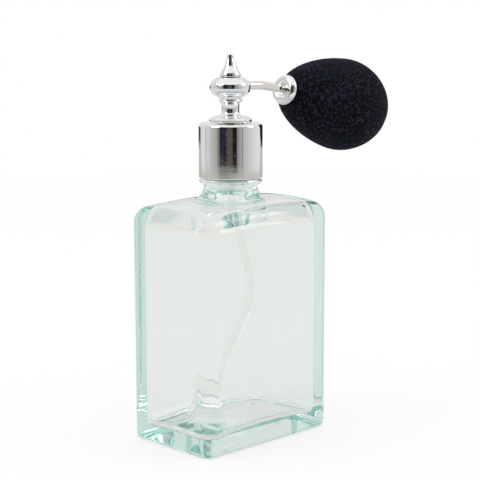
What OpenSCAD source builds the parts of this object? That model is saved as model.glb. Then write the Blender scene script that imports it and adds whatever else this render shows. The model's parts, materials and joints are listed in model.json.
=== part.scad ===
// Perfume atomiser: a flat clear flask, a chromed screw collar, a turned spray head that
// swivels on a hollow post, and a rubber squeeze bulb in a fine net cover.
// Millimetres, +Z up. The origin is the middle of the flask's base, on the surface it
// stands on. X runs along the broad faces, and the bulb points to +X.

/* [Flask] */
// Width across the narrow sides
flask_w = 60; // [50:1:80]
// Depth across the broad faces
flask_d = 39.3; // [32:0.1:60]
// Height of the shoulder at the middle of its crown
flask_h = 83.8; // [70:0.1:120]
// Radius of the four upright edges
edge_r = 5; // [3:0.1:8]
// Radius of the heel, where the sides meet the base
heel_r = 2; // [0.8:0.1:3]
// Radius of the shoulder edge
shoulder_r = 4.5; // [3:0.1:6]
// Radius of the shoulder's crown along the width
crown_x = 262; // [200:1:400]
// Radius of the shoulder's crown along the depth
crown_y = 113; // [95:1:180]
// Thickness of the side walls
glass_t = 4.4; // [2.5:0.1:6]
// Thickness of the floor at its rim
floor_t = 5; // [3:0.1:9]
// Height of the domed middle of the floor over its rim
floor_rise = 2.2; // [1:0.1:4]
// Thickness of the shoulder
ceiling_t = 4; // [2.5:0.1:6]

/* [Neck and thread] */
// Radius of the neck below the bead
neck_r = 9.15; // [8.6:0.05:10]
// Radius of the flare between shoulder and neck
flare_r = 5.2; // [2:0.1:5.5]
// Height from the shoulder's crown to the top of the bead
neck_h = 6.9; // [6.6:0.1:12]
// How far the bead's edge lies inside the collar's edge above it
bead_in = 0.15; // [0.05:0.05:0.6]
// Height of the bead
bead_t = 2.2; // [1.5:0.1:3]
// Radius of the threaded finish under its thread
finish_r = 7.8; // [7.4:0.05:8.2]
// Height of the finish, from the bead to the lip
finish_h = 15.4; // [14:0.1:20]
// Radius of the neck's bore
bore_r = 5.5; // [4.6:0.1:6.4]
// Radius over the crest of the glass thread
thread_r = 8.9; // [8.7:0.05:9]
// Rise of the thread in one turn
pitch = 3.175; // [3:0.005:3.6]
// Turns of thread
thread_turns = 1.5; // [1:0.25:1.75]

/* [Collar] */
// Outer radius of the collar
collar_r = 11; // [10.8:0.1:14]
// Wall of the metal shell
shell_t = 0.9; // [0.6:0.05:1.2]
// Thickness of the shell's top
shell_top = 0.6; // [0.4:0.05:1.5]
// Radius of the shell's rounded top edge
shell_edge = 1.3; // [0.6:0.1:1.6]
// Thickness of the liner's top
liner_top = 0.55; // [0.4:0.05:1.5]
// Gap between the bead and the collar when it is tight
bead_gap = 0.1; // [0.05:0.05:1]

/* [Stem] */
// Thickness of the neck gasket
gasket_t = 1; // [0.6:0.1:2]
// Thickness of the flange that clamps the gasket
flange_t = 1.2; // [0.8:0.1:2]
// Radius of the flange and of the gasket under it
flange_r = 7.6; // [7:0.1:8]
// Depth of the plug in the neck
plug_l = 9; // [7:0.1:12]
// Radius of the hub that passes through the collar
hub_r = 4.6; // [4:0.1:5.4]
// Radius of the hollow post that the head turns on
post_r = 2.3; // [2.2:0.05:2.35]
// Radius of the post's air passage
post_bore = 1.2; // [1.1:0.05:1.25]
// Height of the post over the hub
post_h = 7.8; // [7.4:0.1:8.2]

/* [Liquid tubes] */
// Outer radius of the dip tube
dip_r = 1.5; // [1.2:0.05:1.8]
// Wall of the dip tube
dip_t = 0.5; // [0.3:0.05:0.6]
// Radius of the dip tube's long upper bow
bow_upper = 76; // [60:1:110]
// Angle of the upper bow
bow_upper_a = 23; // [10:1:26]
// Radius of the dip tube's lower bow
bow_lower = 18.5; // [12:0.5:30]
// Lean of the dip tube's lower end
dip_lean = 34; // [10:1:40]
// Longest straight run at the lower end
dip_tail = 39.6; // [20:0.1:44]
// Space between the dip tube's end and the floor
dip_gap = 2; // [1:0.1:6]
// Outer radius of the metal riser
riser_r = 0.8; // [0.7:0.05:0.85]
// Radius of the riser's bore
riser_bore = 0.4; // [0.25:0.05:0.5]

/* [Spray head] */
// Gap between the collar and the head's flange
head_gap = 0.32; // [0.15:0.01:1]
// Radius of the head's flange
head_r = 7.32; // [6.8:0.01:9]
// Radius of the ball
ball_r = 7.1; // [6.8:0.05:8]
// Height of the spray axis over the head's flange
spray_h = 12; // [11.5:0.1:16]
// Height of the finial over the ball
finial_h = 8; // [6:0.1:14]
// Radius of the finial's foot
finial_r = 3.55; // [3.2:0.05:4]
// Radius of the nozzle insert
nozzle_r = 1.6; // [1.3:0.05:1.8]
// Radius of the spray orifice
orifice_r = 0.25; // [0.15:0.05:0.4]

/* [Air tube] */
// Outer radius of the air tube
tube_r = 1.5; // [1.2:0.05:1.8]
// Wall of the air tube
tube_t = 0.5; // [0.3:0.05:0.6]
// Distance from the neck axis to the first bend
tube_out = 12; // [9:0.1:20]
// Radius of both bends
bend_r = 38; // [20:1:60]
// Angle of the first bend
bend_1 = 9.5; // [4:0.5:25]
// Straight run between the bends
tube_mid = 6.2; // [3:0.1:12]
// Angle of the second bend
bend_2 = 2.64; // [1:0.01:15]

/* [Bulb] */
// Length of the bulb from the ferrule's middle to its tail
bulb_l = 49.8; // [45:0.1:70]
// Greatest radius of the bulb over its net
bulb_r = 17; // [14:0.1:24]
// Place of the greatest radius, as a share of the length
bulb_belly = 0.615; // [0.5:0.005:0.7]
// Thickness of the net cover
net_t = 0.75; // [0.4:0.05:1.2]
// Wall of the rubber bulb
rubber_t = 2; // [1.2:0.1:3]
// Radius of the ferrule's round rim, at the middle of its wire
rim_r = 3.6; // [3.4:0.05:4.4]
// Half the thickness of the ferrule's round rim
rim_t = 1.75; // [1.4:0.05:1.9]

/* [Air valves] */
// Radius of a valve barrel in the bulb's mouth
barrel_r = 2.6; // [2.5:0.05:3]
// Radius of a valve chamber
chamber_r = 1.7; // [1.55:0.05:1.8]
// Radius of a valve ball
ball_valve_r = 1.2; // [1.1:0.05:1.3]
// Radius of the hole in a valve seat
seat_bore = 0.7; // [0.5:0.05:0.8]
// Lift of a valve ball off its seat
valve_lift = 0.8; // [0.4:0.1:1.2]
// Length of a valve seat
seat_l = 3; // [2:0.1:4]

/* [Hidden] */
$fn = 72;

// Clearances: run for pieces that turn or slide in each other, fit for pieces pushed home.
run = 0.05;
fit = 0.02;
join = 0.5;

// The flare's foot lies this far under the crown's top, where the crown has fallen away.
flare_sink = 0.85;

// The bead is as wide as the collar that comes down to it, less its inset.
bead_r = collar_r - bead_in;

// Levels up the neck axis
bead_top = flask_h + neck_h;
lip_z = bead_top + finish_h;
flange_z = lip_z + gasket_t;
flange_top = flange_z + flange_t;
liner_z = flange_top + run;
shell_z = liner_z + liner_top;
collar_z = bead_top + bead_gap;
collar_top = shell_z + shell_top;
head_z = collar_top + head_gap;
hub_top = head_z - run;
plug_z = flange_z - plug_l;
spray_z = head_z + spray_h;

// Thread: the glass ridge and the liner's ridge run half a pitch apart on one helix.
ridge_root_w = 1.6;
ridge_crest_w = 0.9;
ridge_root_c = 1.1;
ridge_crest_c = 0.7;
thread_gap = 0.2;
thread_top_gap = 2;
thread_z = lip_z - thread_top_gap - thread_turns * pitch;
liner_bore = thread_r + thread_gap;
liner_crest = finish_r + 1.25 * thread_gap;
liner_r = collar_r - shell_t - fit;

// Stem: post passages, and the grooves for the clip and the seal
washer_t = 0.4;
clip_z = head_z + 1.1;
clip_t = 0.4;
clip_depth = 0.35;
clip_r = post_r + 0.6;
seal_z = head_z + 6.95;
seal_wire = 0.24;
seal_groove = post_r - 2 * seal_wire + run / 2;
web_z = plug_z + 5;
web_t = 1.5;
vent_r = 0.5;
vent_z = web_z + web_t + vent_r;
head_bore = post_r + run;
post_top = hub_top + post_h;
chamber_top = spray_z + 1.3;
ball_top = spray_z + 3.1;

// Dip tube: down the neck axis, a long bow towards the bulb, then a short bow back
dip_top = web_z;
dip_end_z = floor_t + floor_rise + dip_gap;
bows_drop = bow_upper * sin(bow_upper_a) + bow_lower * (sin(bow_upper_a) + sin(dip_lean));
dip_drop = plug_z - dip_end_z;
dip_lead_least = 7;
tail_l = min(dip_tail, (dip_drop - bows_drop - dip_lead_least) / cos(dip_lean));
lead_z = dip_end_z + bows_drop + tail_l * cos(dip_lean);
bow_1 = [bow_upper * (1 - cos(bow_upper_a)), lead_z - bow_upper * sin(bow_upper_a)];
bow_mid = bow_1 - bow_lower * [cos(bow_upper_a), sin(bow_upper_a)];
dip_end = bow_mid + [
    bow_lower * cos(dip_lean) - tail_l * sin(dip_lean),
    -bow_lower * sin(dip_lean) - tail_l * cos(dip_lean)
];

// Air tube: level out of the ball, then two bends down to the bulb's axis
bulb_pitch = bend_1 + bend_2;
tube_in = 3.4;
tube_run_2 = 1;
knee_1 = [tube_out + bend_r * sin(bend_1), spray_z - bend_r * (1 - cos(bend_1))];
knee_2 = knee_1 + tube_mid * [cos(bend_1), -sin(bend_1)];
knee_3 = knee_2 + bend_r * [
    sin(bulb_pitch) - sin(bend_1),
    cos(bulb_pitch) - cos(bend_1)
];
ferrule_at = knee_3 + tube_run_2 * [cos(bulb_pitch), -sin(bulb_pitch)];

// Places along the bulb's axis, from the ferrule's middle
web_front = -0.7;
web_back = rim_t;
body_flange = 0.8;
mouth_lip = 3;
tube_seat = web_back + 2.4;
cage_t = 0.5;
cage_bore = 0.5;
outlet_chamber = tube_seat + 1;
cage_to_ball = sqrt(pow(ball_valve_r, 2) - pow(cage_bore, 2));
seat_to_ball = sqrt(pow(ball_valve_r, 2) - pow(seat_bore, 2)) + fit;
ball_room = cage_t + cage_to_ball + fit + valve_lift + seat_to_ball;
outlet_seat_t = outlet_chamber + ball_room;
outlet_l = outlet_seat_t + seat_l;
tail_cover = 1.5;
intake_end = bulb_l - tail_cover;
intake_seat_t = intake_end - seat_l;
intake_chamber = intake_seat_t - ball_room;
intake_l = intake_chamber - 3;
tail_flange_r = barrel_r + 1;
mouth_t = rim_t + 0.1;
skin_gap = 0.1;
bulb_steps = 26;

// Glass form: a flat-footed body with rounded upright edges, a crowned top and a heel.
module upright_form(w, d, r, low, high) {
    translate([0, 0, low])
        linear_extrude(high - low) {
            square([w - 2 * r, d], center = true);
            square([w, d - 2 * r], center = true);
            for (x = [-1, 1], y = [-1, 1])
                translate([x * (w / 2 - r), y * (d / 2 - r)])
                    circle(r);
        }
}

// Outline with a crown of radius c and corners of radius r that run into it smoothly
module crowned_outline(w, low, top, r, c) {
    corner_x = w / 2 - r;
    corner_y = top - c + sqrt(pow(c - r, 2) - pow(corner_x, 2));
    reach = (r + 2) / (c - r);
    out_x = corner_x * (1 + reach);
    out_y = corner_y + (corner_y - top + c) * reach;
    translate([-w / 2, low])
        square([w, corner_y - low]);
    for (x = [-1, 1])
        translate([x * corner_x, corner_y])
            circle(r);
    intersection() {
        translate([0, top - c])
            circle(c, $fn = 360);
        polygon([
            [-corner_x, corner_y - 1], [corner_x, corner_y - 1], [corner_x, corner_y],
            [out_x, out_y], [-out_x, out_y], [-corner_x, corner_y]
        ]);
    }
}

// Outline with rounded lower corners
module footed_outline(w, low, high, r) {
    translate([-w / 2, low + r])
        square([w, high - low - r]);
    translate([r - w / 2, low])
        square([w - 2 * r, 2 * r]);
    for (x = [-1, 1])
        translate([x * (w / 2 - r), low + r])
            circle(r);
}

// The crowned outline swept along an arc of radius c, so that its edge falls with the crown
module crown_sweep(w, low, top, r, across, along) {
    translate([0, 0, top - along])
        rotate([0, 90, 0])
            rotate_extrude($fn = 360)
                translate([along - top, 0])
                    rotate(-90)
                        crowned_outline(w, low, top, r, across);
}

module flask_form(w, d, low, top, r_edge, r_top, r_foot, cx, cy) {
    spare = 5;
    crown_lift = 0.05;
    intersection() {
        upright_form(w, d, r_edge, low, top + 1);
        crown_sweep(w, low - spare, top, r_top, cx, cy);
        rotate([0, 0, 90])
            crown_sweep(d, low - spare, top + crown_lift, r_top, cy, cx);
        rotate([90, 0, 0])
            linear_extrude(d + 2 * spare, center = true)
                footed_outline(w, low, top + spare, r_foot);
        rotate([90, 0, 90])
            linear_extrude(w + 2 * spare, center = true)
                footed_outline(d, low, top + spare, r_foot);
    }
}

// A helical ridge between radii r_root and r_crest, faded in and out at its ends
module thread_ridge(r_root, r_crest, w_root, w_crest, z0) {
    per_turn = 36;
    fade = 4;
    n = per_turn * thread_turns;
    sink = r_crest > r_root ? -0.3 : 0.3;
    points = [
        for (i = [0 : n])
            let (
                a = 360 * i / per_turn,
                z = z0 + pitch * i / per_turn,
                share = min(1, i / fade, (n - i) / fade),
                crest = r_root + (r_crest - r_root) * share
            )
            for (p = [
                [r_root + sink, -w_root / 2], [crest, -w_crest / 2],
                [crest, w_crest / 2], [r_root + sink, w_root / 2]
            ])
                [p[0] * cos(a), p[0] * sin(a), z + p[1]]
    ];
    sides = [
        for (i = [0 : n - 1], k = [0 : 3])
            [4 * i + k, 4 * i + (k + 1) % 4, 4 * i + 4 + (k + 1) % 4, 4 * i + 4 + k]
    ];
    ends = [[3, 2, 1, 0], [4 * n, 4 * n + 1, 4 * n + 2, 4 * n + 3]];
    faces = [for (f = concat(sides, ends)) r_crest > r_root ? f : [f[3], f[2], f[1], f[0]]];
    polyhedron(points, faces);
}

module tube_ring(r_out, r_in, h) {
    difference() {
        cylinder(r = r_out, h = h);
        translate([0, 0, -1])
            cylinder(r = r_in, h = h + 2);
    }
}

// A hollow round tube along a route in the XZ plane: [x, z, heading] at each of its rings
module swept_tube(route, r_out, r_in) {
    sides = 24;
    last = len(route) - 1;
    points = [
        for (p = route, r = [r_out, r_in], k = [0 : sides - 1])
            let (a = 360 * k / sides)
            [
                p[0] - r * cos(a) * sin(p[2]),
                r * sin(a),
                p[1] + r * cos(a) * cos(p[2])
            ]
    ];
    walls = [
        for (i = [0 : last - 1], w = [0, 1], k = [0 : sides - 1])
            let (
                a = (2 * i + w) * sides + k,
                b = (2 * i + w) * sides + (k + 1) % sides,
                f = [a, b, b + 2 * sides, a + 2 * sides]
            )
            w == 0 ? f : [f[3], f[2], f[1], f[0]]
    ];
    ends = [
        for (i = [0, last], k = [0 : sides - 1])
            let (
                a = 2 * i * sides + k,
                b = 2 * i * sides + (k + 1) % sides,
                f = [a, a + sides, b + sides, b]
            )
            i == 0 ? f : [f[3], f[2], f[1], f[0]]
    ];
    polyhedron(points, concat(walls, ends));
}

// The rings of a downward bend that starts at from and turns its heading from a0 to a1
function bend_route(from, a0, a1, steps) = [
    for (k = [0 : steps])
        let (a = a0 + (a1 - a0) * k / steps)
        [
            from[0] + bend_r * (sin(a) - sin(a0)),
            from[1] + bend_r * (cos(a) - cos(a0)),
            -a
        ]
];

// Smooth line through a few points of a turned outline
function between(a, b, c, d, t) =
    0.5 * (2 * b + (c - a) * t + (2 * a - 5 * b + 4 * c - d) * t * t
        + (3 * b - a - 3 * c + d) * t * t * t);
function smooth(p, steps = 3) = [
    for (i = [0 : len(p) - 2], k = [0 : steps - 1])
        between(p[max(i - 1, 0)], p[i], p[i + 1], p[min(i + 2, len(p) - 1)], k / steps),
    p[len(p) - 1]
];

// ---------------------------------------------------------------- glass flask

module neck_outline() {
    lip_round = 0.6;
    flare_z = flask_h - flare_sink + flare_r;
    difference() {
        translate([0, flask_h - ceiling_t])
            square([neck_r + flare_r, flare_z - flask_h + ceiling_t]);
        translate([neck_r + flare_r, flare_z])
            circle(flare_r);
    }
    translate([0, flask_h])
        square([neck_r, neck_h]);
    translate([0, bead_top - bead_t])
        square([bead_r - bead_t / 2, bead_t]);
    translate([bead_r - bead_t / 2, bead_top - bead_t / 2])
        circle(bead_t / 2);
    translate([0, bead_top - join])
        square([finish_r, finish_h + join - lip_round]);
    translate([0, lip_z - 2 * lip_round])
        square([finish_r - lip_round, 2 * lip_round]);
    translate([finish_r - lip_round, lip_z - lip_round])
        circle(lip_round);
}

module cavity() {
    inner_w = flask_w - 2 * glass_t;
    inner_d = flask_d - 2 * glass_t;
    inner_top = flask_h - ceiling_t;
    inner_edge = 3;
    inner_shoulder = 4;
    inner_foot = 3.5;
    throat_r = 2.5;
    dome_r = pow(inner_w / 2, 2) / (2 * floor_rise);
    difference() {
        flask_form(inner_w, inner_d, floor_t, inner_top, inner_edge, inner_shoulder,
            inner_foot, crown_x - ceiling_t, crown_y - ceiling_t);
        translate([0, 0, floor_t + floor_rise - dome_r])
            sphere(dome_r, $fn = 360);
    }
    translate([0, 0, inner_top - 2])
        cylinder(r = bore_r, h = lip_z - inner_top + 3);
    rotate_extrude()
        difference() {
            translate([0, inner_top - 1])
                square([bore_r + throat_r, throat_r + 1]);
            translate([bore_r + throat_r, inner_top + throat_r])
                circle(throat_r);
        }
}

module glass_bottle() {
    color([0.78, 0.88, 0.86, 0.45])
        difference() {
            union() {
                flask_form(flask_w, flask_d, 0, flask_h, edge_r, shoulder_r, heel_r,
                    crown_x, crown_y);
                rotate_extrude()
                    neck_outline();
                thread_ridge(finish_r, thread_r, ridge_root_w, ridge_crest_w, thread_z);
            }
            cavity();
        }
}

// ---------------------------------------------------------------- stem and liquid tubes

module neck_gasket() {
    color("white")
        translate([0, 0, lip_z])
            tube_ring(flange_r, bore_r + 0.1, gasket_t);
}

module stem_body() {
    slot_w = 1;
    plug_r = bore_r - run;
    color([0.85, 0.82, 0.72])
        difference() {
            union() {
                translate([0, 0, plug_z])
                    cylinder(r = plug_r, h = plug_l + flange_t);
                translate([0, 0, flange_z])
                    cylinder(r = flange_r, h = flange_t);
                translate([0, 0, flange_z])
                    cylinder(r = hub_r, h = hub_top - flange_z);
                translate([0, 0, hub_top - join])
                    cylinder(r = post_r, h = post_h + join);
            }
            translate([0, 0, plug_z - 1])
                cylinder(r = dip_r + fit, h = web_z - plug_z + 1);
            translate([0, 0, web_z - 1])
                cylinder(r = riser_r + fit, h = web_t + 2);
            translate([0, 0, web_z + web_t])
                cylinder(r = post_bore, h = post_top - web_z);
            translate([0, 0, vent_z])
                rotate([0, 90, 0])
                    cylinder(r = vent_r, h = 3 * plug_r, center = true);
            for (x = [-1, 1])
                translate([x * plug_r, 0, vent_z + vent_r - plug_l / 2])
                    cube([2 * slot_w, slot_w, plug_l], center = true);
            translate([0, 0, clip_z])
                tube_ring(post_r + 1, post_r - clip_depth, clip_t + run);
            translate([0, 0, seal_z - seal_wire - run])
                tube_ring(post_r + 1, seal_groove, 2 * (seal_wire + run));
        }
}

module dip_tube() {
    color([0.9, 0.93, 0.92, 0.6])
        swept_tube(concat(
            [[0, dip_top, -90]],
            [for (a = [0 : bow_upper_a / 6 : bow_upper_a + 0.1])
                [bow_upper * (1 - cos(a)), lead_z - bow_upper * sin(a), a - 90]],
            [for (k = [1 : 10])
                let (a = bow_upper_a - k * (bow_upper_a + dip_lean) / 10)
                [bow_mid[0] + bow_lower * cos(a), bow_mid[1] + bow_lower * sin(a), a - 90]],
            [[dip_end[0], dip_end[1], -dip_lean - 90]]
        ), dip_r, dip_r - dip_t);
}

module riser_tube() {
    riser_z = web_z - 2;
    color("silver")
        translate([0, 0, riser_z])
            tube_ring(riser_r, riser_bore, spray_z - 0.6 - riser_z);
}

module swivel_clip() {
    gap_a = 60;
    color("dimgray")
        translate([0, 0, clip_z + run / 2])
            rotate([0, 0, gap_a / 2])
                rotate_extrude(angle = 360 - gap_a)
                    translate([post_r - clip_depth + fit, 0])
                        square([clip_r - post_r + clip_depth - fit, clip_t]);
}

module swivel_seal() {
    color([0.1, 0.1, 0.1])
        translate([0, 0, seal_z])
            rotate_extrude()
                translate([seal_groove + seal_wire, 0])
                    circle(seal_wire);
}

// ---------------------------------------------------------------- collar

module collar_shell() {
    hole_r = hub_r + 2 * run;
    color([0.86, 0.87, 0.88])
        rotate_extrude() {
            difference() {
                union() {
                    translate([hole_r, collar_z])
                        square([collar_r - hole_r, collar_top - shell_edge - collar_z]);
                    translate([hole_r, collar_z])
                        square([collar_r - shell_edge - hole_r, collar_top - collar_z]);
                    translate([collar_r - shell_edge, collar_top - shell_edge])
                        circle(shell_edge);
                }
                translate([0, collar_z - 1])
                    square([collar_r - shell_t, shell_z - collar_z + 1 - join]);
                translate([0, collar_z - 1])
                    square([collar_r - shell_t - join, shell_z - collar_z + 1]);
            }
        }
}

module collar_liner() {
    hole_r = hub_r + 2 * run;
    skirt_z = collar_z + 0.8;
    corner = join + fit;
    color([0.92, 0.92, 0.9]) {
        difference() {
            union() {
                translate([0, 0, skirt_z])
                    cylinder(r = liner_r, h = shell_z - corner - skirt_z);
                translate([0, 0, skirt_z])
                    cylinder(r = liner_r - corner, h = shell_z - fit - skirt_z);
            }
            translate([0, 0, skirt_z - 1])
                cylinder(r = liner_bore, h = liner_z - skirt_z + 1);
            cylinder(r = hole_r, h = head_z);
        }
        thread_ridge(liner_bore, liner_crest, ridge_root_c, ridge_crest_c,
            thread_z - pitch / 2);
    }
}

// ---------------------------------------------------------------- spray head

module thrust_washer() {
    color("ivory")
        translate([0, 0, hub_top])
            tube_ring(hub_r - 0.1, head_bore, washer_t);
}

// Outline of the turned head over its flange: swept foot, waisted stem, bead and ball
module head_outline() {
    flange_edge = 0.2;
    belt = 0.8;
    foot = smooth([
        [head_r - flange_edge, 1], [6.3, 1.7], [3.9, 2.35], [3.1, 3.2], [2.98, 4.65],
        [3.15, 6], [3.6, 6.6], [4.07, 7.15], [3.8, 7.75]
    ]);
    ball = smooth([
        [3.85, spray_h - 4.1], [ball_r - 2.5, spray_h - 3.5], [ball_r - 1.3, spray_h - 2.75],
        [ball_r - 0.4, spray_h - 1.7], [ball_r, spray_h - belt], [ball_r, spray_h + belt - 0.2],
        [ball_r - 0.4, spray_h + 1.4], [ball_r - 1.3, spray_h + 2.4],
        [ball_r - 2.5, ball_top - head_z]
    ]);
    translate([0, head_z])
        polygon(concat(
            [[0, 0], [head_r - flange_edge, 0], [head_r, flange_edge], [head_r, 0.8]],
            foot, ball, [[0, ball_top - head_z]]
        ));
}

module head_body() {
    color([0.86, 0.87, 0.88])
        difference() {
            rotate_extrude()
                head_outline();
            translate([0, 0, head_z - 1])
                cylinder(r = head_bore, h = chamber_top - head_z + 1);
            translate([0, 0, head_z - 1])
                cylinder(r = hub_r, h = washer_t + 1);
            translate([0, 0, clip_z - run])
                cylinder(r = clip_r + 2 * run, h = clip_t + 3 * run);
            translate([0, 0, chamber_top - 1])
                cylinder(r = finial_r - 1.65, h = 4);
            translate([tube_in - 2, 0, spray_z])
                rotate([0, 90, 0])
                    cylinder(r = tube_r + fit, h = ball_r);
            translate([-1, 0, spray_z])
                rotate([0, -90, 0])
                    cylinder(r = nozzle_r + fit, h = ball_r);
        }
}

module finial() {
    spigot_r = finial_r - 1.65 - fit;
    foot_z = ball_top + 0.3;
    tip_r = 1.05;
    top = smooth([
        [finial_r, 0.75], [finial_r - 0.4, 1.7], [2.3, 0.4 * finial_h], [1.7, 0.6 * finial_h],
        [tip_r + 0.2, 0.78 * finial_h], [tip_r, 0.93 * finial_h],
        [0.6 * tip_r, 0.99 * finial_h], [0, finial_h]
    ]);
    color([0.86, 0.87, 0.88])
        union() {
            translate([0, 0, foot_z])
                rotate_extrude()
                    polygon(concat([[0, 0], [finial_r - 0.2, 0], [finial_r, 0.25]], top));
            translate([0, 0, chamber_top + 0.1])
                cylinder(r = spigot_r, h = foot_z - chamber_top);
        }
}

module finial_seal() {
    color([0.12, 0.12, 0.12])
        translate([0, 0, ball_top])
            tube_ring(finial_r - 0.35, finial_r - 1.6, 0.3);
}

module spray_core() {
    socket_r = riser_r + run;
    core_r = socket_r + 0.5;
    needle_r = 0.55;
    needle_l = ball_r - 2;
    color([0.8, 0.7, 0.45])
        difference() {
            union() {
                translate([0, 0, spray_z - 2])
                    cylinder(r = core_r, h = 3);
                translate([0, 0, spray_z])
                    rotate([0, -90, 0])
                        cylinder(r = needle_r, h = needle_l);
            }
            translate([0, 0, spray_z - 3])
                cylinder(r = socket_r, h = 3);
            translate([0, 0, spray_z])
                rotate([0, -90, 0])
                    cylinder(r = orifice_r, h = ball_r);
            translate([0, 0, spray_z - 1])
                cylinder(r = orifice_r + 0.1, h = 1);
        }
}

module nozzle_insert() {
    insert_l = 3.2;
    color([0.86, 0.87, 0.88])
        translate([insert_l - ball_r - 0.05, 0, spray_z])
            rotate([0, -90, 0])
                difference() {
                    rotate_extrude()
                        polygon([
                            [0, 0], [nozzle_r, 0], [nozzle_r, insert_l - 0.4],
                            [nozzle_r - 0.5, insert_l - 0.05], [0, insert_l]
                        ]);
                    translate([0, 0, -1])
                        cylinder(r = nozzle_r - 0.5, h = 2.8);
                    translate([0, 0, 1.79])
                        cylinder(r1 = nozzle_r - 0.5, r2 = orifice_r, h = 0.9);
                    cylinder(r = orifice_r, h = insert_l + 1);
                }
}

// ---------------------------------------------------------------- air tube and ferrule

module air_tube() {
    far = ferrule_at + tube_seat * [cos(bulb_pitch), -sin(bulb_pitch)];
    color([0.84, 0.82, 0.76])
        swept_tube(concat(
            [[tube_in, spray_z, 0]],
            bend_route([tube_out, spray_z], 0, bend_1, 4),
            bend_route(knee_2, bend_1, bulb_pitch, 2),
            [[far[0], far[1], -bulb_pitch]]
        ), tube_r, tube_r - tube_t);
}

// Turns a piece so that its +Z runs along the bulb's axis, from the ferrule's middle
module on_bulb_axis() {
    translate([ferrule_at[0], 0, ferrule_at[1]])
        rotate([0, 90 + bulb_pitch, 0])
            children();
}

module bulb_ferrule() {
    color([0.86, 0.87, 0.88])
        on_bulb_axis()
            rotate_extrude() {
                translate([rim_r, 0])
                    circle(rim_t);
                translate([tube_r + fit, web_front])
                    square([rim_r - tube_r - fit, web_back - web_front]);
            }
}

// ---------------------------------------------------------------- bulb

// Radius of the bulb's form at place t, drawn in by d all round
function swell(s, power) = sqrt(max(0, 1 - pow(s, power)));
function bulb_radius(t, d) =
    let (u = (t - d) / (bulb_l - 2 * d))
    (bulb_r - d) * (u < bulb_belly
        ? swell((bulb_belly - u) / bulb_belly, 1.54)
        : swell((u - bulb_belly) / (1 - bulb_belly), 1.83));

// Half outline of the bulb's form, drawn in by d, from t0 to t1, closer spaced at its ends
function bulb_line(d, t0, t1) = [
    for (i = [0 : bulb_steps])
        let (t = t0 + (t1 - t0) * (1 - cos(180 * i / bulb_steps)) / 2)
        [bulb_radius(t, d), t]
];

module bulb_shape(d, t0, t1) {
    polygon(concat([[0, t0]], bulb_line(d, t0, t1), [[0, t1]]));
}

module net_cover() {
    color([0.06, 0.06, 0.09])
        on_bulb_axis()
            rotate_extrude()
                difference() {
                    bulb_shape(0, mouth_t, bulb_l);
                    bulb_shape(net_t, mouth_t - 1, bulb_l - net_t);
                    translate([0, mouth_t - 1])
                        square([rim_r, 3]);
                }
}

module rubber_bulb() {
    skin = net_t + skin_gap;
    inner = skin + rubber_t;
    cavity_front = mouth_t + body_flange + mouth_lip;
    tail_plug = intake_l - 1;
    bore = barrel_r + skin_gap;
    color([0.1, 0.1, 0.1])
        on_bulb_axis()
            rotate_extrude()
                difference() {
                    bulb_shape(skin, mouth_t + body_flange, bulb_l - skin);
                    bulb_shape(inner, cavity_front, bulb_l - inner - 1);
                    square([bore, cavity_front + 1]);
                    translate([0, tail_plug])
                        square([bore, bulb_l]);
                    translate([0, intake_end - body_flange - skin_gap])
                        square([tail_flange_r + skin_gap, bulb_l]);
                }
}

// ---------------------------------------------------------------- air valves

module valve_cage(t) {
    bar = 0.5;
    on_bulb_axis()
        translate([0, 0, t])
            difference() {
                cylinder(r = chamber_r - fit, h = cage_t);
                translate([0, 0, -1])
                    cylinder(r = cage_bore, h = cage_t + 2);
                for (a = [0 : 120 : 240])
                    rotate([0, 0, a])
                        translate([0, -bar / 2, -1])
                            cube([chamber_r - 0.35, bar, cage_t + 2]);
            }
}

module valve_seat(t) {
    on_bulb_axis()
        translate([0, 0, t])
            tube_ring(chamber_r - fit, seat_bore, seat_l);
}

module valve_ball(t) {
    on_bulb_axis()
        translate([0, 0, t - seat_to_ball])
            sphere(ball_valve_r);
}

module outlet_body() {
    color([0.75, 0.68, 0.5])
        on_bulb_axis()
            difference() {
                union() {
                    translate([0, 0, web_back + fit])
                        cylinder(r = rim_r - 0.6, h = mouth_t + body_flange - web_back - 2 * fit);
                    translate([0, 0, mouth_t])
                        cylinder(r = barrel_r, h = outlet_l - mouth_t);
                }
                cylinder(r = tube_r + fit, h = tube_seat);
                cylinder(r = tube_r - tube_t, h = outlet_l);
                translate([0, 0, outlet_chamber])
                    cylinder(r = chamber_r, h = outlet_l);
            }
}

module outlet_cage() {
    color("silver")
        valve_cage(outlet_chamber);
}

module outlet_seat() {
    color("goldenrod")
        valve_seat(outlet_seat_t);
}

module outlet_ball() {
    color("gray")
        valve_ball(outlet_seat_t);
}

module intake_body() {
    color([0.75, 0.68, 0.5])
        on_bulb_axis()
            difference() {
                union() {
                    translate([0, 0, intake_end - body_flange])
                        cylinder(r = tail_flange_r, h = body_flange);
                    translate([0, 0, intake_l])
                        cylinder(r = barrel_r, h = intake_end - intake_l);
                }
                translate([0, 0, intake_l - 1])
                    cylinder(r = tube_r - tube_t, h = bulb_l);
                translate([0, 0, intake_chamber])
                    cylinder(r = chamber_r, h = bulb_l);
            }
}

module intake_cage() {
    color("silver")
        valve_cage(intake_chamber);
}

module intake_seat() {
    color("goldenrod")
        valve_seat(intake_seat_t);
}

module intake_ball() {
    color("gray")
        valve_ball(intake_seat_t);
}

glass_bottle();
neck_gasket();
stem_body();
dip_tube();
riser_tube();
swivel_clip();
swivel_seal();
collar_shell();
collar_liner();
thrust_washer();
head_body();
finial();
finial_seal();
spray_core();
nozzle_insert();
air_tube();
bulb_ferrule();
outlet_body();
outlet_cage();
outlet_seat();
outlet_ball();
rubber_bulb();
net_cover();
intake_body();
intake_cage();
intake_seat();
intake_ball();
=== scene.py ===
"""Looks of a perfume atomiser: flat glass flask, chromed collar and head, netted squeeze bulb."""
import json
import math

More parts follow.
